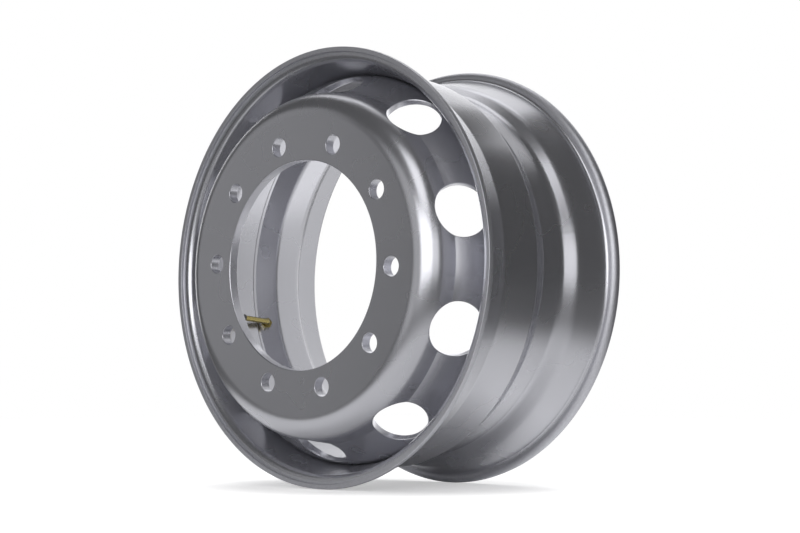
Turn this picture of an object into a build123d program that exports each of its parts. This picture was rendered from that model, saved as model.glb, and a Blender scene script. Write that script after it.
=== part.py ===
from build123d import *
import math
import os

# Steel wheel for a heavy truck, for a tubeless tyre: a rolled rim, a formed disc welded into it,
# and a bent tyre valve. Millimetres.
# The wheel's axis is Y. Y = 0 is the middle plane of the rim, the nut side is -Y, and +Z is up.

# Rim, measured on the side that the tyre touches
rim_width = 247.65        # between the two flange walls (9.75 in)
seat_radius = 285.75      # where the bead seat's line meets the flange wall (22.5 in across)
seat_angle = 15.0         # slope of both bead seats
flange_height = 12.7      # top of the flange above the seat
lip_reach = 12.4          # how far the lip stands out past the flange wall
lip_droop = 8.0           # slope of the lip towards its cut edge
rim_wall = 6.2            # sheet thickness, the same all along the section
lip_chamfer = 0.7         # broken edges of the cut lip
crown_bend = 8.0          # bend radius at the top of the flange
heel_bend = 5.5           # bend radius between seat and flange wall
ledge_drop = 12.85        # flat ledge that the disc is fitted into, below the seat's line
ledge_end = -9.3          # Y of the crease where the ledge drops into the well
ledge_bend = 8.0
toe_bend = 22.0           # soft bend between the outer seat and the ledge
well_depth = 27.0         # well floor below the seat's line
well_slope = 27.0         # front slope of the well
well_rear_slope = 41.5
well_bend = 15.0
rear_bend = 26.0          # soft bend between the well and the inner seat

# Disc
inset = 160.0             # from the rim's middle plane out to the hub face
face_wall = 14.5          # bolting face and large corner
flare_wall = 8.5          # where the side wall ends, thinned from the face wall
skirt_wall = 7.5
corner_bend = 34.0        # large round corner of the disc
wall_slope = 15.0         # slope of the side wall against the axis
flare_length = 17.0       # along the axis, from the side wall to the skirt
flare_step = 9.9          # how much the flare widens the disc, on the radius
flare_bend = 24.0
skirt_length = 37.0       # plain cylinder inside the ledge
skirt_margin = 14.2       # from the skirt's welded edge to the ledge's crease
skirt_clearance = 0.2     # between the skirt and the ledge, all round
hub_bore = 281.0          # diameter
bore_chamfer = 1.5
stud_count = 10
stud_circle = 335.0       # diameter
stud_hole = 26.0
stud_chamfer = 0.8
stud_angle = 104.5        # first stud hole, from +X towards +Z
hand_hole_count = 10
hand_hole = 70.0
hand_hole_depth = 58.0    # centre on the wall's outer side, measured from the nut face

# Weld between the skirt and the rim
weld_leg = 7.5
weld_crown = 0.7          # how far the bead bulges past its straight line

# Tyre valve
valve_seat_along = 11.0   # from the ledge's crease, down the front slope of the well
valve_hole = 9.7
valve_bore = 2.6
valve_stem = 8.0
valve_base = 17.0         # flanged foot inside the tyre
valve_base_height = 3.0
valve_seal = 16.0
valve_seal_height = 2.5
valve_washer = 15.5
valve_washer_height = 1.5
valve_nut = 14.0          # across flats
valve_nut_height = 6.0
valve_nut_chamfer = 0.8
valve_rise = 9.0          # straight shank above the rim before the bend
valve_bend = 9.0          # bend radius of the stem's middle line
valve_lean = 13.0         # the stem's lean towards the wheel's axis after the bend
valve_length = 42.0       # straight stem after the bend
valve_thread = 9.0        # narrower threaded end under the cap
valve_thread_step = 0.15
valve_core = 5.2
valve_core_length = 20.0
valve_pin = 1.6
valve_pin_length = 2.0
valve_cap = 10.6
valve_cap_length = 14.0
valve_cap_wall = 1.3
valve_cap_chamfer = 0.9
valve_fit = 0.1           # clearance round the shank, in the cap and round the core

# Sizes that follow from those above
half_width = rim_width / 2
ledge_radius = seat_radius - ledge_drop
flange_radius = seat_radius + flange_height
crown_middle = flange_radius - crown_bend
droop = math.radians(lip_droop)
crown_corner = crown_middle + crown_bend * (1 / math.cos(droop) + math.tan(droop))
lip_radius = crown_corner - lip_reach * math.tan(droop)
well_radius = seat_radius - well_depth
seat_run = (seat_radius - ledge_radius) / math.tan(math.radians(seat_angle))
drop = ledge_radius - well_radius
well_start = ledge_end + drop / math.tan(math.radians(well_slope))
well_end = half_width - seat_run - drop / math.tan(math.radians(well_rear_slope))

nut_face = -inset - face_wall
skirt_radius = ledge_radius - rim_wall - skirt_clearance
skirt_end = ledge_end - skirt_margin
flare_end = skirt_end - skirt_length
flare_start = flare_end - flare_length
wall_tilt = math.radians(wall_slope)
flare_radius = skirt_radius - flare_step
corner_radius = flare_radius - (flare_start - nut_face) * math.tan(wall_tilt)
hand_hole_radius = corner_radius + hand_hole_depth * math.tan(wall_tilt)
hand_hole_angle = stud_angle + 180 / stud_count

slope = math.radians(well_slope)
washer_seat = rim_wall + (valve_washer / 2) ** 2 / (2 * (well_radius - rim_wall))
valve_angle = hand_hole_angle + 2 * 360 / hand_hole_count


def offset_points(points, walls):
    """Points of the same open outline moved to its right by the wall at each point."""
    moved = []
    for i, (x, y) in enumerate(points):
        before = points[max(i - 1, 0)]
        after = points[min(i + 1, len(points) - 1)]
        steps = [(x - before[0], y - before[1]), (after[0] - x, after[1] - y)]
        normals = [(dy / math.hypot(dx, dy), -dx / math.hypot(dx, dy)) for dx, dy in steps if dx or dy]
        nx = sum(n[0] for n in normals) / len(normals)
        ny = sum(n[1] for n in normals) / len(normals)
        size = (nx * nx + ny * ny) / walls[i]
        moved.append((x + nx / size, y + ny / size))
    return moved


def offset_bends(points, bends, walls):
    """Bend radii on the other side of the sheet, larger on the outside of each bend."""
    result = []
    for i, bend in enumerate(bends, start=1):
        (x0, y0), (x1, y1), (x2, y2) = points[i - 1:i + 2]
        turn = (x1 - x0) * (y2 - y1) - (y1 - y0) * (x2 - x1)
        result.append(bend + math.copysign(walls[i], turn))
    return result


def sheet(points, bends, walls):
    """Closed section of a bent sheet, from one side's corner points, bend radii and wall."""
    near = FilletPolyline(*points, radius=bends)
    far_points = offset_points(points, walls)
    far = FilletPolyline(*far_points, radius=offset_bends(points, bends, walls))
    ends = [Line(points[0], far_points[0]), Line(points[-1], far_points[-1])]
    return make_face([near, ends[1], far, ends[0]])


def turn_about_axis(shape, degrees_):
    """Turns from +X towards +Z about the wheel's axis."""
    return Rot(0, -degrees_, 0) * shape


def make_rim():
    points = [
        (lip_radius, -half_width - lip_reach),
        (crown_corner, -half_width),
        (seat_radius, -half_width),
        (ledge_radius, -half_width + seat_run),
        (ledge_radius, ledge_end),
        (well_radius, well_start),
        (well_radius, well_end),
        (ledge_radius, half_width - seat_run),
        (seat_radius, half_width),
        (crown_corner, half_width),
        (lip_radius, half_width + lip_reach),
    ]
    bends = [crown_bend, heel_bend, toe_bend, ledge_bend, well_bend, well_bend, rear_bend,
             heel_bend, crown_bend]
    points.reverse()
    bends.reverse()
    section = sheet(points, bends, [rim_wall] * len(points))
    rim = revolve(section, Axis.Y)
    cut_edges = rim.edges().filter_by(lambda e: abs(e.center().Y) > half_width + lip_reach / 2)
    rim = chamfer(cut_edges.filter_by(lambda e: e.geom_type == GeomType.CIRCLE), lip_chamfer)
    return rim - turn_about_axis(along_valve(-rim_wall, 3 * rim_wall, valve_hole / 2), valve_angle)


def make_disc():
    points = [
        (hub_bore / 2, nut_face),
        (corner_radius, nut_face),
        (flare_radius, flare_start),
        (skirt_radius, flare_end),
        (skirt_radius, skirt_end),
    ]
    walls = [face_wall, face_wall, flare_wall, skirt_wall, skirt_wall]
    points.reverse()
    walls.reverse()
    section = sheet(points, [flare_bend, flare_bend, corner_bend], walls)
    disc = revolve(section, Axis.Y)
    mouths = disc.edges().filter_by(lambda e: e.geom_type == GeomType.CIRCLE and e.radius < hub_bore / 2 + 1)
    disc = chamfer(mouths, bore_chamfer)

    stud = Pos(stud_circle / 2, nut_face + face_wall / 2, 0) * Rot(90, 0, 0) * Cylinder(
        stud_hole / 2, 2 * face_wall)
    window = Pos(hand_hole_radius, nut_face + hand_hole_depth, 0) * Rot(0, 90, 0)
    window = window * Rot(wall_slope, 0, 0) * Cylinder(hand_hole / 2, 4 * face_wall)
    studs = [turn_about_axis(stud, stud_angle + k * 360 / stud_count) for k in range(stud_count)]
    windows = [turn_about_axis(window, hand_hole_angle + k * 360 / hand_hole_count)
               for k in range(hand_hole_count)]
    disc = disc - studs
    disc = chamfer(stud_mouths(disc), stud_chamfer)
    disc = disc - windows
    return disc


def stud_mouths(disc):
    """The round edges of the stud holes on both faces of the disc."""
    return disc.edges().filter_by(
        lambda e: e.geom_type == GeomType.CIRCLE and abs(e.radius - stud_hole / 2) < 0.01)


def make_weld():
    top = (ledge_radius - rim_wall, skirt_end + weld_leg)
    root = (ledge_radius - rim_wall, skirt_end)
    toe = (ledge_radius - rim_wall - weld_leg, skirt_end)
    side = weld_leg / 2 + weld_crown / math.sqrt(2)
    middle = (root[0] - side, skirt_end + side)
    section = make_face([ThreePointArc(toe, middle, top), Line(top, root), Line(root, toe)])
    return revolve(section, Axis.Y)


def valve_point(height):
    """Point on the shank's middle line, at a height above the rim's tyre side, in the XY plane."""
    x = ledge_radius - valve_seat_along * math.sin(slope) - height * math.cos(slope)
    y = ledge_end + valve_seat_along * math.cos(slope) - height * math.sin(slope)
    return (x, y)


def along_valve(start, length, radius):
    """Cylinder on the shank's middle line, from a height above the rim's tyre side."""
    base = Plane(origin=valve_point(start), z_dir=(-math.cos(slope), -math.sin(slope), 0))
    return base * Cylinder(radius, length, align=(Align.CENTER, Align.CENTER, Align.MIN))


def ring(start, length, outer, inner):
    return along_valve(start, length, outer / 2) - along_valve(start - 1, length + 2, inner / 2)


def stem_path():
    """Middle line of the stem: up through the rim, round the bend and out towards the nut side."""
    turn = math.pi / 2 - slope - math.radians(valve_lean)
    corner = valve_point(rim_wall + valve_rise + valve_bend * math.tan(turn / 2))
    run = valve_length + valve_bend * math.tan(turn / 2)
    lean = math.radians(valve_lean)
    end = (corner[0] - run * math.sin(lean), corner[1] - run * math.cos(lean))
    return FilletPolyline(valve_point(-valve_seal_height), corner, end, radius=valve_bend)


def from_tip(path, start, length, diameter):
    """Cylinder on the stem's straight end, measured back from its tip."""
    back = path % 1 * -1
    place = Plane(origin=path @ 1 + back * start, z_dir=back)
    return place * Cylinder(diameter / 2, length, align=(Align.CENTER, Align.CENTER, Align.MIN))


def make_valve():
    """All pieces of the valve at angle zero, by name."""
    path = stem_path()
    round_bar = Plane(origin=path @ 0, z_dir=path % 0) * Circle(valve_stem / 2)
    stem = sweep(round_bar, path)
    stem += along_valve(-valve_seal_height - valve_base_height, valve_base_height, valve_base / 2)
    thread_ring = from_tip(path, 0, valve_thread, 2 * valve_stem)
    thread_ring -= from_tip(path, -1, valve_thread + 1, valve_stem - 2 * valve_thread_step)
    stem -= thread_ring
    air_line = Plane(origin=path @ 0, z_dir=path % 0) * Circle(valve_bore / 2)
    stem -= sweep(air_line, path)
    stem -= along_valve(-valve_seal_height - valve_base_height, valve_base_height, valve_bore / 2)
    stem -= from_tip(path, 0, valve_core_length, valve_core + 2 * valve_fit)

    seal = ring(-valve_seal_height, valve_seal_height, valve_seal, valve_stem + 2 * valve_fit)
    seal += ring(0, rim_wall / 2, valve_hole - 2 * valve_fit, valve_stem + 2 * valve_fit)
    washer = ring(washer_seat, valve_washer_height, valve_washer, valve_stem + 4 * valve_fit)

    nut_start = washer_seat + valve_washer_height
    nut_plane = Plane(origin=valve_point(nut_start), z_dir=(-math.cos(slope), -math.sin(slope), 0))
    nut = extrude(nut_plane * RegularPolygon(valve_nut / 2, 6, major_radius=False), valve_nut_height)
    nut &= chamfer(along_valve(nut_start, valve_nut_height, valve_nut / math.sqrt(3)).edges()
                   .filter_by(GeomType.CIRCLE).sort_by(Axis.X)[0], valve_nut_chamfer)
    nut -= along_valve(nut_start - 1, valve_nut_height + 2, valve_stem / 2 + valve_fit)

    core = from_tip(path, 0, valve_core_length, valve_core)
    core += from_tip(path, -valve_pin_length, valve_pin_length, valve_pin)
    cap_start = valve_thread - valve_fit
    cap = from_tip(path, cap_start - valve_cap_length, valve_cap_length, valve_cap)
    cap = chamfer(cap.edges().filter_by(GeomType.CIRCLE).sort_by(Axis.Y)[0], valve_cap_chamfer)
    cap_room = valve_cap_length - valve_cap_wall
    cap -= from_tip(path, cap_start - cap_room, cap_room,
                    valve_stem - 2 * valve_thread_step + 2 * valve_fit)
    return {"valve_stem": stem, "valve_seal": seal, "valve_washer": washer, "valve_nut": nut,
            "valve_core": core, "valve_cap": cap}


os.makedirs("parts", exist_ok=True)
pieces = {"rim": make_rim(), "disc": make_disc(), "disc_weld": make_weld()}
for name, piece in make_valve().items():
    pieces[name] = turn_about_axis(piece, valve_angle)
for name, piece in pieces.items():
    piece.label = name
    export_step(piece, f"parts/{name}.step")
    print(name, round(piece.volume), "mm3", "valid" if piece.is_valid else "not valid")
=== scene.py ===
import math

import bpy
from mathutils import Matrix, Vector


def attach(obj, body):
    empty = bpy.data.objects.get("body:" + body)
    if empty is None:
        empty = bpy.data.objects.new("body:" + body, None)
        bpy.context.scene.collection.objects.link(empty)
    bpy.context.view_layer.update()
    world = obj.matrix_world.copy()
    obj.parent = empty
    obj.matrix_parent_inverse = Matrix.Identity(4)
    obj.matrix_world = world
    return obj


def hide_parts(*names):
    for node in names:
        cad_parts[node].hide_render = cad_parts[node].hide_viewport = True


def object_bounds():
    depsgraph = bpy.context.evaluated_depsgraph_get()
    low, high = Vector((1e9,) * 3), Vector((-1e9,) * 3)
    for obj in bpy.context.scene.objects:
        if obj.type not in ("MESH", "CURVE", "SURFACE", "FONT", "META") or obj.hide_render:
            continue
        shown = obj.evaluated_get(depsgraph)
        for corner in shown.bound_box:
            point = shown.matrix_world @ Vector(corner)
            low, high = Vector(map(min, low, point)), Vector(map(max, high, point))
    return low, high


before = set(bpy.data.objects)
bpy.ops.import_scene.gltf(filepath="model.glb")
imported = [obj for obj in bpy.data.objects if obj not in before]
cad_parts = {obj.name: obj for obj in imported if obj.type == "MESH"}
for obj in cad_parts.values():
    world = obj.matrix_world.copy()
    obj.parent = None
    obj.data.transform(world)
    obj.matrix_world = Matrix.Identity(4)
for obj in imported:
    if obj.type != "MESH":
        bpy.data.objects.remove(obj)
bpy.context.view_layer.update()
print("frame loaded")

# All lengths are metres and all angles are degrees. The wheel's axis is Y, the nut side is -Y.

mergeDistance = 1e-6
softAngle = 25             # edges of the two shells that turn by more than this stay sharp


def deselectAll():
    if bpy.context.mode != "OBJECT":
        bpy.ops.object.mode_set(mode="OBJECT")
    bpy.ops.object.select_all(action="DESELECT")


def selectOnly(*pieces):
    deselectAll()
    for piece in pieces:
        piece.select_set(True)
    bpy.context.view_layer.objects.active = pieces[0]


def roundCorner(before, corner, after, bend):
    # where the bend starts, its centre, its turn in radians with left positive, and where it ends
    first = (corner - before).normalized()
    second = (after - corner).normalized()
    turn = math.atan2(first.x * second.y - first.y * second.x, first.dot(second))
    tangent = bend * math.tan(abs(turn) / 2)
    side = Vector((-first.y, first.x)) * math.copysign(bend, turn)
    start = corner - first * tangent
    return start, start + side, turn, corner + second * tangent


def offsetPoints(points, walls):
    # the other side of a bent sheet, to the right of the path
    moved = []
    for i, point in enumerate(points):
        before = points[max(i - 1, 0)]
        after = points[min(i + 1, len(points) - 1)]
        runs = [run.normalized() for run in (point - before, after - point) if run.length > 0]
        normal = sum((Vector((run.y, -run.x)) for run in runs), Vector((0, 0))) / len(runs)
        moved.append(point + normal * walls[i] / normal.length_squared)
    return moved


def sheetOutline(points, bends, walls, edges):
    # closed outline as (point, bend) round a sheet; edges are the bends at its two ends
    points = [Vector(point) for point in points]
    far = offsetPoints(points, walls)
    farBends = []
    for i, bend in enumerate(bends, start=1):
        one = points[i] - points[i - 1]
        two = points[i + 1] - points[i]
        farBends.append(bend + math.copysign(walls[i], one.x * two.y - one.y * two.x))
    near = list(zip(points, [edges[0]] + list(bends) + [edges[1]]))
    back = list(zip(far, [edges[0]] + farBends + [edges[1]]))
    return near + back[::-1]


def lathe(name, outline, segments, arcStep=6.0):
    # draws the outline by extruding and spinning one point, then spins it round the axle
    deselectAll()
    bpy.ops.mesh.primitive_plane_add(size=0.001)
    piece = bpy.context.object
    piece.name = name
    piece.data.name = name
    bpy.ops.object.mode_set(mode="EDIT")
    bpy.ops.mesh.select_mode(type="VERT")
    bpy.ops.mesh.select_all(action="SELECT")
    bpy.ops.mesh.merge(type="CENTER")
    count = len(outline)
    corners = []
    for i, (point, bend) in enumerate(outline):
        before, after = outline[i - 1][0], outline[(i + 1) % count][0]
        corners.append(roundCorner(before, point, after, bend) + (bend,))
    place = corners[0][3]
    bpy.ops.transform.translate(value=(place.x, place.y, 0))
    for start, middle, turn, end, bend in corners[1:] + corners[:1]:
        if (start - place).length > mergeDistance:
            move = (start.x - place.x, start.y - place.y, 0)
            bpy.ops.mesh.extrude_region_move(TRANSFORM_OT_translate={"value": move})
        if bend > 0:
            steps = max(2, math.ceil(abs(math.degrees(turn)) / arcStep))
            bpy.ops.mesh.spin(steps=steps, angle=turn, center=(middle.x, middle.y, 0), axis=(0, 0, -1))
        place = end
    bpy.ops.mesh.select_all(action="SELECT")
    bpy.ops.mesh.remove_doubles(threshold=mergeDistance)
    bpy.ops.mesh.select_all(action="SELECT")
    bpy.ops.mesh.spin(steps=segments, angle=2 * math.pi, center=(0, 0, 0), axis=(0, 1, 0))
    bpy.ops.mesh.select_all(action="SELECT")
    bpy.ops.mesh.remove_doubles(threshold=mergeDistance)
    bpy.ops.mesh.normals_make_consistent(inside=False)
    bpy.ops.object.mode_set(mode="OBJECT")
    return piece


def copiesRound(first, name, count, start):
    # copies with their own meshes, spread evenly about the axle, from +X towards +Z, in place of the first
    copies = []
    for k in range(count):
        twin = first.copy()
        twin.data = first.data.copy()
        twin.name = name
        bpy.context.collection.objects.link(twin)
        twin.data.transform(Matrix.Rotation(-math.radians(start + k * 360 / count), 4, "Y"))
        copies.append(twin)
    bpy.data.objects.remove(first, do_unlink=True)
    return copies


def cutAway(piece, cutters):
    selectOnly(*cutters)
    bpy.ops.object.join()
    tool = bpy.context.view_layer.objects.active
    selectOnly(piece)
    cut = piece.modifiers.new("cut", "BOOLEAN")
    cut.operation = "DIFFERENCE"
    cut.solver = "EXACT"
    cut.object = tool
    bpy.ops.object.modifier_apply(modifier=cut.name)
    bpy.data.objects.remove(tool, do_unlink=True)


def smooth(piece):
    # soft shading up to the soft angle, with flat faces kept flat up to their edges
    selectOnly(piece)
    bpy.ops.object.shade_smooth_by_angle(angle=math.radians(softAngle), keep_sharp_edges=False)
    normals = piece.modifiers.new("normals", "WEIGHTED_NORMAL")
    normals.keep_sharp = True
    bpy.ops.object.modifier_apply(modifier=normals.name)


rim = {
    "width": 0.24765,          # between the flange walls
    "seatRadius": 0.28575,
    "seatAngle": 15.0,
    "flangeHeight": 0.0127,
    "lipReach": 0.0124,
    "lipDroop": 8.0,
    "wall": 0.0062,
    "crownBend": 0.008,
    "heelBend": 0.0055,
    "ledgeDrop": 0.01285,      # from the seat's heel down to the ledge
    "ledgeEnd": -0.0093,       # on the axle, where the well's front slope starts
    "ledgeBend": 0.008,
    "toeBend": 0.022,
    "wellDepth": 0.027,
    "wellSlope": 27.0,
    "wellRearSlope": 41.5,
    "wellBend": 0.015,
    "rearBend": 0.026,
    "edgeRound": 0.0008,       # broken edges of the cut lip
    "segments": 384,
}


def makeRim():
    half = rim["width"] / 2
    seat = rim["seatRadius"]
    ledge = seat - rim["ledgeDrop"]
    well = seat - rim["wellDepth"]
    drop = ledge - well
    seatRun = rim["ledgeDrop"] / math.tan(math.radians(rim["seatAngle"]))
    droop = math.radians(rim["lipDroop"])
    crown = rim["crownBend"]
    corner = seat + rim["flangeHeight"] - crown + crown * (1 / math.cos(droop) + math.tan(droop))
    lip = corner - rim["lipReach"] * math.tan(droop)
    wellStart = rim["ledgeEnd"] + drop / math.tan(math.radians(rim["wellSlope"]))
    wellEnd = half - seatRun - drop / math.tan(math.radians(rim["wellRearSlope"]))
    points = [
        (lip, half + rim["lipReach"]), (corner, half), (seat, half), (ledge, half - seatRun),
        (well, wellEnd), (well, wellStart), (ledge, rim["ledgeEnd"]), (ledge, seatRun - half),
        (seat, -half), (corner, -half), (lip, -half - rim["lipReach"]),
    ]
    bends = [crown, rim["heelBend"], rim["rearBend"], rim["wellBend"], rim["wellBend"],
             rim["ledgeBend"], rim["toeBend"], rim["heelBend"], crown]
    edges = (rim["edgeRound"], rim["edgeRound"])
    outline = sheetOutline(points, bends, [rim["wall"]] * len(points), edges)
    return lathe("rimShell", outline, rim["segments"])


disc = {
    "inset": 0.160,            # from the rim's middle plane to the hub's side of the face
    "faceWall": 0.0145,
    "creaseWall": 0.013,
    "skirtWall": 0.0075,
    "cornerBend": 0.034,
    "wallSlope": 14.0,
    "wallDepth": 0.0424,       # along the axle, from the nut face to the crease
    "creaseBend": 0.008,
    "flareSlope": 29.5,
    "flareStep": 0.0277,       # how much the flare widens the disc, on the radius
    "flareBend": 0.024,
    "skirtMargin": 0.0142,     # from the skirt's end to the end of the rim's ledge
    "skirtClearance": 0.0002,
    "skirtRound": 0.0006,
    "boreRadius": 0.1405,
    "boreRound": 0.0015,
    "studCount": 10,
    "studCircle": 0.1675,      # radius
    "studRadius": 0.013,
    "studRound": 0.0008,
    "studAngle": 104.5,        # first hole, from +X towards +Z
    "studReach": 0.010,        # how far the cutter stands out of the sheet, on both sides
    "studCorners": 48,
    "handCount": 10,
    "handRadius": 0.03575,
    "handDepth": 0.055,        # from the nut face, on the flare's outer side
    "handTilt": 36.0,          # lean of the hole's own axis towards the nut side
    "handRound": 0.0016,
    "handReach": 0.020,
    "handCorners": 144,
    "segments": 384,
}


def discLines():
    # places along the disc's outer side, from the rim's own sizes
    ledge = rim["seatRadius"] - rim["ledgeDrop"]
    skirt = ledge - rim["wall"] - disc["skirtClearance"]
    nutFace = -disc["inset"] - disc["faceWall"]
    creaseAlong = nutFace + disc["wallDepth"]
    crease = skirt - disc["flareStep"]
    flareRise = math.tan(math.radians(disc["flareSlope"]))
    corner = crease - disc["wallDepth"] * math.tan(math.radians(disc["wallSlope"]))
    hand = crease + (disc["handDepth"] - disc["wallDepth"]) * flareRise
    return {"skirt": skirt, "nutFace": nutFace, "skirtEnd": rim["ledgeEnd"] - disc["skirtMargin"],
            "crease": crease, "creaseAlong": creaseAlong, "hand": hand,
            "flareEnd": creaseAlong + disc["flareStep"] / flareRise, "corner": corner}


def makeSpool(radius, edge, wall, reach, corners):
    # a round bar through a wall whose outer side is z = 0; it opens out where it leaves the wall,
    # so that the hole that it cuts has round edges
    turns = [math.radians(step) for step in (0, 30, 60)]
    flared = [(edge * (1 - math.cos(turn)), edge * (math.sin(turn) - 1)) for turn in turns]
    out, up = flared[-1]
    wide = 2 * edge - out
    flared.append((wide, -up))
    rings = [(wide, -wall - reach)] + [(out, -wall - up) for out, up in reversed(flared)]
    rings += flared + [(wide, reach)]
    height = -wall - reach
    size = radius + wide
    deselectAll()
    bpy.ops.mesh.primitive_circle_add(vertices=corners, radius=size, fill_type="NGON",
                                      location=(0, 0, height))
    spool = bpy.context.object
    bpy.ops.object.transform_apply(location=True)
    bpy.ops.object.mode_set(mode="EDIT")
    bpy.ops.mesh.select_all(action="SELECT")
    for out, up in rings[1:]:
        bpy.ops.mesh.extrude_region_move(TRANSFORM_OT_translate={"value": (0, 0, up - height)})
        scale = (radius + out) / size
        bpy.ops.transform.resize(value=(scale, scale, 1), center_override=(0, 0, up))
        height = up
        size = radius + out
    bpy.ops.mesh.select_all(action="SELECT")
    bpy.ops.mesh.normals_make_consistent(inside=False)
    bpy.ops.object.mode_set(mode="OBJECT")
    return spool


def makeHandCutter(lines, shell):
    wall = disc["creaseWall"]
    cutter = makeSpool(disc["handRadius"], disc["handRound"], wall, disc["handReach"],
                       disc["handCorners"])
    # X across the hole, Y down the wall, Z outwards
    tilt = math.radians(disc["handTilt"])
    turn = Matrix(((0, math.sin(tilt), math.cos(tilt)),
                   (0, math.cos(tilt), -math.sin(tilt)),
                   (-1, 0, 0))).to_4x4()
    place = Matrix.Translation((lines["hand"], lines["nutFace"] + disc["handDepth"], 0)) @ turn
    back = place.inverted()
    outwards = turn.to_3x3() @ Vector((0, 0, 1))
    far = 0.07                                     # where the rays start, clear of the sheet
    for vertex in cutter.data.vertices:            # each ring follows the sheet's own surface
        inner = vertex.co.z < -wall / 2
        side = -1 if inner else 1
        start = place @ Vector((vertex.co.x, vertex.co.y, side * far))
        hit, spot, _, _ = shell.ray_cast(start, outwards * -side)
        if hit:
            vertex.co.z += (back @ spot).z + (wall if inner else 0)
    cutter.data.transform(place)
    return cutter


def makeStudCutter(lines):
    cutter = makeSpool(disc["studRadius"], disc["studRound"], disc["faceWall"], disc["studReach"],
                       disc["studCorners"])
    turn = Matrix.Rotation(math.radians(90), 4, "X")         # Z to -Y, out of the nut face
    cutter.data.transform(Matrix.Translation((disc["studCircle"], lines["nutFace"], 0)) @ turn)
    return cutter


def makeDisc():
    lines = discLines()
    nutFace = lines["nutFace"]
    points = [(lines["skirt"], lines["skirtEnd"]), (lines["skirt"], lines["flareEnd"]),
              (lines["crease"], lines["creaseAlong"]), (lines["corner"], nutFace),
              (disc["boreRadius"], nutFace)]
    walls = [disc["skirtWall"], disc["skirtWall"], disc["creaseWall"], disc["faceWall"],
             disc["faceWall"]]
    bends = [disc["flareBend"], disc["creaseBend"], disc["cornerBend"]]
    outline = sheetOutline(points, bends, walls, (disc["skirtRound"], disc["boreRound"]))
    shell = lathe("discShell", outline, disc["segments"])
    bpy.context.view_layer.update()
    # the hand holes lie midway between the stud holes
    handAngle = disc["studAngle"] + 180 / disc["studCount"]
    cutters = copiesRound(makeHandCutter(lines, shell), "handCutter", disc["handCount"], handAngle)
    cutters += copiesRound(makeStudCutter(lines), "studCutter", disc["studCount"], disc["studAngle"])
    cutAway(shell, cutters)
    return shell


valve = {
    "angle": 194.5,            # from +X towards +Z
    "lean": 13.0,              # of the straight stem, towards the axle
    "longer": 0.024,           # how much further the stem runs on behind the disc
    "moved": 0.030,            # the part of the stem's end that moves along with the tip
    "softAngle": 30,
}


def stemLine():
    # the way that the straight stem runs, towards its tip
    turn = math.radians(valve["angle"])
    lean = math.radians(valve["lean"])
    return Vector((-math.sin(lean) * math.cos(turn), -math.cos(lean), -math.sin(lean) * math.sin(turn)))


def lengthened(node, name, tip):
    # a copy of one valve piece with everything near the tip moved on along the stem
    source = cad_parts[node]
    piece = source.copy()
    piece.data = source.data.copy()
    piece.name = name
    piece.data.name = name
    bpy.context.collection.objects.link(piece)
    piece.parent = None
    piece.data.transform(source.matrix_world)
    piece.matrix_world = Matrix.Identity(4)
    selectOnly(piece)
    bpy.ops.mesh.customdata_custom_splitnormals_clear()
    bpy.ops.object.mode_set(mode="EDIT")
    bpy.ops.mesh.select_mode(type="VERT")
    bpy.ops.mesh.select_all(action="SELECT")
    bpy.ops.mesh.remove_doubles(threshold=mergeDistance)
    bpy.ops.mesh.select_all(action="DESELECT")
    bpy.ops.object.mode_set(mode="OBJECT")
    line = stemLine()
    for vertex in piece.data.vertices:
        vertex.select = vertex.co.dot(line) > tip - valve["moved"]
    bpy.ops.object.mode_set(mode="EDIT")
    bpy.ops.transform.translate(value=line * valve["longer"])
    bpy.ops.mesh.select_all(action="SELECT")
    bpy.ops.mesh.normals_make_consistent(inside=False)
    bpy.ops.object.mode_set(mode="OBJECT")
    bpy.ops.object.shade_smooth_by_angle(angle=math.radians(valve["softAngle"]), keep_sharp_edges=False)
    return piece


def makeValve():
    line = stemLine()
    tip = max(vertex.co.dot(line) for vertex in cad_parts["valve_stem"].data.vertices)
    return (lengthened("valve_stem", "valveStem", tip), lengthened("valve_core", "valveCore", tip),
            lengthened("valve_cap", "valveCap", tip))


class Wire:
    # a socket that can be used in a Python expression
    def __init__(self, finish, socket):
        self.finish = finish
        self.socket = socket

    def calc(self, operation, first, second):
        return self.finish.add("ShaderNodeMath", {"operation": operation}, {0: first, 1: second})

    def __add__(self, other):
        return self.calc("ADD", self, other)

    def __radd__(self, other):
        return self.calc("ADD", other, self)

    def __sub__(self, other):
        return self.calc("SUBTRACT", self, other)

    def __rsub__(self, other):
        return self.calc("SUBTRACT", other, self)

    def __mul__(self, other):
        return self.calc("MULTIPLY", self, other)

    def __rmul__(self, other):
        return self.calc("MULTIPLY", other, self)

    def __truediv__(self, other):
        return self.calc("DIVIDE", self, other)

    def __rtruediv__(self, other):
        return self.calc("DIVIDE", other, self)

    def __pow__(self, other):
        return self.calc("POWER", self, other)


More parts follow.
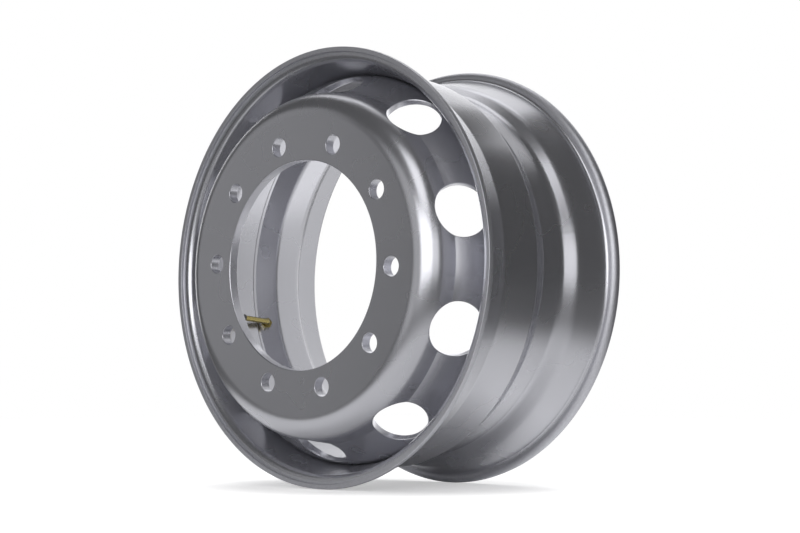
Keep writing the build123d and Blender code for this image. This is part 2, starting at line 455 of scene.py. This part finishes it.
class Finish:
    # one material, or the world, and the nodes in it
    def __init__(self, owner):
        self.owner = owner
        owner.use_nodes = True
        self.tree = owner.node_tree
        self.tree.nodes.clear()

    def add(self, kind, settings=None, sockets=None, output=0):
        node = self.tree.nodes.new(kind)
        for key, value in (settings or {}).items():
            setattr(node, key, value)
        for key, value in (sockets or {}).items():
            if isinstance(value, Wire):
                self.tree.links.new(value.socket, node.inputs[key])
            else:
                node.inputs[key].default_value = value
        return Wire(self, node.outputs[output]) if node.outputs else node

    def parts(self, vector):
        node = self.tree.nodes.new("ShaderNodeSeparateXYZ")
        self.tree.links.new(vector.socket, node.inputs[0])
        return [Wire(self, node.outputs[i]) for i in range(3)]

    def noise(self, place, scale, detail):
        return self.add("ShaderNodeTexNoise", None, {"Vector": place, "Scale": scale, "Detail": detail})

    def ramp(self, value, start, end, low=0.0, high=1.0, kind="SMOOTHSTEP"):
        return self.add("ShaderNodeMapRange", {"interpolation_type": kind}, {
            "Value": value, "From Min": start, "From Max": end, "To Min": low, "To Max": high})

    def mottled(self, tone, colour, spread):
        # darker at tone 0 and lighter at tone 1; the node's colours are inputs 6 and 7 and output 2
        darker, lighter = [tuple(min(part * share, 1) for part in colour) + (1,)
                           for share in (1 - spread, 1 + spread)]
        return self.add("ShaderNodeMix", {"data_type": "RGBA", "clamp_factor": False},
                        {"Factor": tone, 6: darker, 7: lighter}, output=2)

    def surface(self, colour, metallic, roughness, height, sizes):
        bump = self.add("ShaderNodeBump", None, {
            "Strength": sizes["bumpStrength"], "Distance": sizes["bumpDepth"], "Height": height})
        shader = self.add("ShaderNodeBsdfPrincipled", None, {
            "Base Color": colour, "Metallic": metallic, "Roughness": roughness, "Normal": bump})
        self.add("ShaderNodeOutputMaterial", None, {"Surface": shader})
        return self.owner


def newMaterial(name):
    return Finish(bpy.data.materials.new(name))


steel = {
    "colour": (0.55, 0.552, 0.59),
    "spread": 0.06,            # the tones are darker and lighter by this share
    "metal": 0.88,             # the rest is the paint's own soft tone
    "roughness": 0.23,
    "blotchRoughness": 0.08,   # added by the blotches
    "lipRoughness": 0.22,      # added on the blasted flange
    "grain": 380.0,            # rings per metre in the rolled grain
    "grainAround": 1.5,        # how much the grain changes on the way round
    "grainHeight": 0.5,
    "grainTone": 0.3,
    "fleck": 450.0,            # specks per metre in the paint
    "fleckHeight": 0.25,
    "blotch": 9.0,             # soft blotches per metre
    "blotchTone": 0.6,
    "lipRadius": 0.289,        # the flange beyond this radius is blasted, and its colour is painted lighter there as a painted highlight
    "lipFade": 0.002,
    "lipSpeck": 330.0,         # specks per metre there
    "lipHeight": 3.0,
    # real blasted specks on the lip, plus a painted highlight: on the whole the specks make the lip's
    # colour lighter than the paint
    "lipSpeckHighlight": 2.0,
    "lipDark": 0.2,            # specks below this value are darker than the paint
    "seamAngle": 9.0,          # the rim's butt weld, from +X towards +Z
    "seamHalf": 0.0035,        # from its middle to its edge
    "seamHeight": 3.0,
    "bumpStrength": 0.06,
    "bumpDepth": 0.0002,
}


def steelFinish(name, isRim):
    # satin silver over rolled steel: fine rings round the axle, specks and soft blotches; on the rim, a
    # blasted flange lip whose colour is also painted lighter as a painted highlight
    made = newMaterial(name)
    place = made.add("ShaderNodeTexCoord", output="Object")
    x, y, z = made.parts(place)
    radius = (x * x + z * z) ** 0.5
    rings = made.add("ShaderNodeCombineXYZ", None, {
        0: radius * steel["grain"], 1: y * steel["grain"], 2: x / radius * steel["grainAround"]})
    grain = made.add("ShaderNodeTexNoise", {"noise_dimensions": "4D"}, {
        "Vector": rings, "W": z / radius * steel["grainAround"], "Scale": 1.0, "Detail": 3.0})
    blotch = made.noise(place, steel["blotch"], 3.0)
    fleck = made.noise(place, steel["fleck"], 1.0)
    height = grain * steel["grainHeight"] + fleck * steel["fleckHeight"]
    tone = blotch * steel["blotchTone"] + grain * steel["grainTone"]
    roughness = steel["roughness"] + blotch * steel["blotchRoughness"]
    if isRim:
        lip = made.ramp(radius, steel["lipRadius"] - steel["lipFade"], steel["lipRadius"], kind="LINEAR")
        speck = made.noise(place, steel["lipSpeck"], 4.0)
        height = height + lip * speck * steel["lipHeight"]
        # painted highlight: the lip's colour is lighter on average, on top of its real specks
        tone = tone + lip * (speck - steel["lipDark"]) * steel["lipSpeckHighlight"]
        roughness = roughness + lip * steel["lipRoughness"]
        turn = math.radians(steel["seamAngle"])
        across = z * math.cos(turn) - x * math.sin(turn)
        ahead = made.add("ShaderNodeMath", {"operation": "GREATER_THAN"}, {0: x, 1: 0.0})
        away = made.add("ShaderNodeMath", {"operation": "ABSOLUTE"}, {0: across})
        seam = made.ramp(away, steel["seamHalf"], steel["seamHalf"] * 0.5)
        height = height + seam * ahead * (speck + 0.5) * steel["seamHeight"]
    shade = made.mottled(tone, steel["colour"], steel["spread"])
    return made.surface(shade, steel["metal"], roughness, height, steel)


bead = {
    "colour": (0.56, 0.56, 0.58),
    "roughness": 0.36,
    "wanderRoughness": 0.12,
    "ripples": 520.0,          # round the ring
    "wanderScale": 60.0,       # the ripples wander by soft noise of this scale
    "wander": 7.0,
    "bumpStrength": 0.6,
    "bumpDepth": 0.0006,
}


def beadFinish(name):
    # the weld bead: small ripples, one behind the other, round the ring
    made = newMaterial(name)
    place = made.add("ShaderNodeTexCoord", output="Object")
    x, y, z = made.parts(place)
    angle = made.add("ShaderNodeMath", {"operation": "ARCTAN2"}, {0: z, 1: x})
    wander = made.noise(place, bead["wanderScale"], 2.0)
    ripple = made.add("ShaderNodeMath", {"operation": "SINE"}, {
        0: angle * bead["ripples"] + wander * bead["wander"]})
    roughness = bead["roughness"] + wander * bead["wanderRoughness"]
    return made.surface(bead["colour"] + (1,), 1.0, roughness, ripple * 0.5 + wander, bead)


# plain finishes: specks are counted per metre and change the colour by the spread
plain = {
    "brass": {"colour": (0.33, 0.27, 0.095), "metallic": 1.0, "roughness": 0.23, "specks": 250,
              "spread": 0.12},
    "rubber": {"colour": (0.03, 0.03, 0.03), "metallic": 0.0, "roughness": 0.70, "specks": 500,
               "spread": 0.2},
    "zincPlate": {"colour": (0.55, 0.55, 0.56), "metallic": 1.0, "roughness": 0.30, "specks": 400,
                  "spread": 0.1},
    "blackPlastic": {"colour": (0.03, 0.03, 0.033), "metallic": 0.0, "roughness": 0.40, "specks": 600,
                     "spread": 0.15},
}
speckle = {"roughness": 0.1, "bumpStrength": 0.1, "bumpDepth": 0.0002}         # what the specks add


def plainFinish(name, sizes):
    made = newMaterial(name)
    place = made.add("ShaderNodeTexCoord", output="Object")
    noise = made.noise(place, sizes["specks"], 3.0)
    shade = made.mottled(noise, sizes["colour"], sizes["spread"])
    roughness = sizes["roughness"] + noise * speckle["roughness"]
    return made.surface(shade, sizes["metallic"], roughness, noise, speckle)


def dress(piece, material):
    piece.data.materials.clear()
    piece.data.materials.append(material)


studio = {
    "room": 0.065,             # faint light from every side
    "backdrop": 1.0,           # what the steel sees straight behind the wheel
    "backdropEdge": 0.68,      # cosine of the angle from straight behind, where the backdrop ends
    "backdropFull": 0.88,      # and where it has its full strength
    "floorSize": 14.0,
    # on the floor, near and far are distances from the middle of the wheel
    "floorGlow": 0.42,         # how much the floor glows for the camera near the wheel, in its shadow
    "floorNear": 0.16,
    "floorFar": 0.38,          # the floor is all white from here
    "floorShine": 0.5,         # how much the white paper glows for the steel
    "shineNear": 0.12,
    "shineFar": 0.28,
    "paper": 0.85,
    "paperEnd": 0.12,          # the steel and the lamps find a dark floor beyond the paper
    "paperNear": 0.5,
    "paperFar": 0.8,
    # soft panels that look at the wheel: azimuth from the nut side towards +X, elevation,
    # distance, width, height and watts
    "panels": {
        "leftPanel": (-120, 11, 3.0, 1.6, 2.4, 15),
        "leftHighPanel": (-135, 60, 3.0, 2.4, 1.9, 16),
        "frontPanel": (-55, 11, 3.0, 1.8, 2.4, 3.9),
        "cameraPanel": (34, 5, 3.0, 2.6, 1.9, 42),
        "cameraSidePanel": (72, 4, 3.0, 1.2, 1.6, 8),
        "topPanel": (-150, 78, 3.0, 1.4, 1.4, 4),
        "cameraHighPanel": (45, 42, 3.0, 1.5, 1.6, 13),
    },
    # two small upright panels close to the wheel, behind it and in front of it, for the inside of
    # the rim and of the holes: azimuth, place, width, height and watts
    "closePanels": {
        "innerPanel": (180, (0.0, 0.32, 0.12), 0.56, 0.7, 0.9),
        "nearPanel": (0, (0.0, -0.9, 0.15), 0.4, 0.8, 0.5),
    },
}


def makePanel(name, azimuth, elevation, distance, width, height, watts):
    # a soft light panel that looks at the wheel
    data = bpy.data.lights.new(name, "AREA")
    data.shape = "RECTANGLE"
    data.size = width
    data.size_y = height
    data.energy = watts
    lamp = bpy.data.objects.new(name, data)
    bpy.context.collection.objects.link(lamp)
    turn, rise = math.radians(azimuth), math.radians(elevation)
    out = Vector((math.sin(turn) * math.cos(rise), -math.cos(turn) * math.cos(rise), math.sin(rise)))
    lamp.location = out * distance
    lamp.rotation_euler = (-out).to_track_quat("-Z", "Y").to_euler()
    lamp.visible_camera = False
    return lamp


def makeFloor():
    # white paper: the camera sees it glow, with the wheel's shadow left on it near the wheel
    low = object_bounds()[0].z
    deselectAll()
    bpy.ops.mesh.primitive_plane_add(size=studio["floorSize"], location=(0, 0, low))
    floor = bpy.context.object
    floor.name = "floor"
    made = newMaterial("floorPaper")
    seen = made.add("ShaderNodeLightPath", output="Is Camera Ray")
    glossy = made.add("ShaderNodeLightPath", output="Is Glossy Ray")
    x, y, z = made.parts(made.add("ShaderNodeTexCoord", output="Object"))
    away = (x * x + y * y) ** 0.5
    glow = made.ramp(away, studio["floorNear"], studio["floorFar"], studio["floorGlow"], 1.0)
    shine = made.ramp(away, studio["shineNear"], studio["shineFar"], 0.0, studio["floorShine"])
    white = made.ramp(away, studio["paperNear"], studio["paperFar"], studio["paper"],
                      studio["paperEnd"])
    paper = made.add("ShaderNodeBsdfDiffuse", None, {"Color": white})
    light = made.add("ShaderNodeEmission", None, {
        "Color": (1, 1, 1, 1), "Strength": seen * glow + glossy * white * shine})
    both = made.add("ShaderNodeAddShader", None, {0: paper, 1: light})
    made.add("ShaderNodeOutputMaterial", None, {"Surface": both})
    dress(floor, made.owner)


def makeWorld():
    # white for the camera; the steel sees a dim room with a pale backdrop behind the wheel
    world = bpy.data.worlds.new("studio")
    bpy.context.scene.world = world
    made = Finish(world)
    seen = made.add("ShaderNodeLightPath", output="Is Camera Ray")
    glossy = made.add("ShaderNodeLightPath", output="Is Glossy Ray")
    passed = made.add("ShaderNodeLightPath", output="Is Transmission Ray")
    x, y, z = made.parts(made.add("ShaderNodeTexCoord", output="Generated"))
    turn = math.radians(camera["azimuth"])
    behind = made.ramp(y * math.cos(turn) - x * math.sin(turn), studio["backdropEdge"],
                       studio["backdropFull"], 0.0, studio["backdrop"] - studio["room"])
    back = made.add("ShaderNodeBackground", None, {
        "Color": (1, 1, 1, 1),
        "Strength": studio["room"] + (seen + passed) * (1 - studio["room"]) + glossy * behind})
    made.add("ShaderNodeOutputWorld", None, {"Surface": back})


def makeLights():
    for name, sizes in studio["panels"].items():
        makePanel(name, *sizes)
    for name, (azimuth, place, width, height, watts) in studio["closePanels"].items():
        makePanel(name, azimuth, 0, 0, width, height, watts).location = place


camera = {
    "azimuth": 43.06,
    "elevation": -4.36,
    "distance": 2.312,
    "right": 0.1336,           # the camera's step to its right
    "up": -0.0019,
    "focalPixels": 1735.0,
    "framePixels": 800,        # the width of the frame in which the focal length is counted
    "sensor": 36.0,            # mm
    "clipStart": 0.05,
    "clipEnd": 50,
}


def makeCamera():
    az, el = math.radians(camera["azimuth"]), math.radians(camera["elevation"])
    back = Vector((math.sin(az) * math.cos(el), -math.cos(az) * math.cos(el), math.sin(el)))
    right = Vector((math.cos(az), math.sin(az), 0))
    up = back.cross(right)
    origin = Vector((0, discLines()["nutFace"], 0))        # the middle of the bolting face
    place = origin + back * camera["distance"] + right * camera["right"] + up * camera["up"]
    data = bpy.data.cameras.new("camera")
    data.sensor_width = camera["sensor"]
    data.lens = camera["focalPixels"] / camera["framePixels"] * camera["sensor"]
    data.clip_start, data.clip_end = camera["clipStart"], camera["clipEnd"]
    eye = bpy.data.objects.new("camera", data)
    bpy.context.collection.objects.link(eye)
    eye.matrix_world = Matrix.Translation(place) @ Matrix((right, up, back)).transposed().to_4x4()
    bpy.context.scene.camera = eye


bpy.context.scene.view_settings.view_transform = "Standard"
makeCamera()
print("camera placed")

rimShell = makeRim()
smooth(rimShell)
print("rim made")
discShell = makeDisc()
smooth(discShell)
print("disc made")
valveStem, valveCore, valveCap = makeValve()
print("valve made")

rimSteel = steelFinish("rimSteel", True)
discSteel = steelFinish("discSteel", False)
weldSteel = beadFinish("weldSteel")
finishes = {name: plainFinish(name, sizes) for name, sizes in plain.items()}
brass = finishes["brass"]
for node, material in (("disc_weld", weldSteel), ("valve_nut", brass),
                       ("valve_seal", finishes["rubber"]), ("valve_washer", finishes["zincPlate"])):
    dress(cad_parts[node], material)
for piece, material, node, slot in (
        (rimShell, rimSteel, "rim", "rim_steel"), (discShell, discSteel, "disc", "disc_steel"),
        (valveStem, brass, "valve_stem", "valve_brass"), (valveCore, brass, "valve_core", "core_brass"),
        (valveCap, finishes["blackPlastic"], "valve_cap", "cap_plastic")):
    dress(piece, material)
    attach(piece, "root")
    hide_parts(node)
print("materials on")

makeFloor()
makeWorld()
makeLights()
print("studio made")
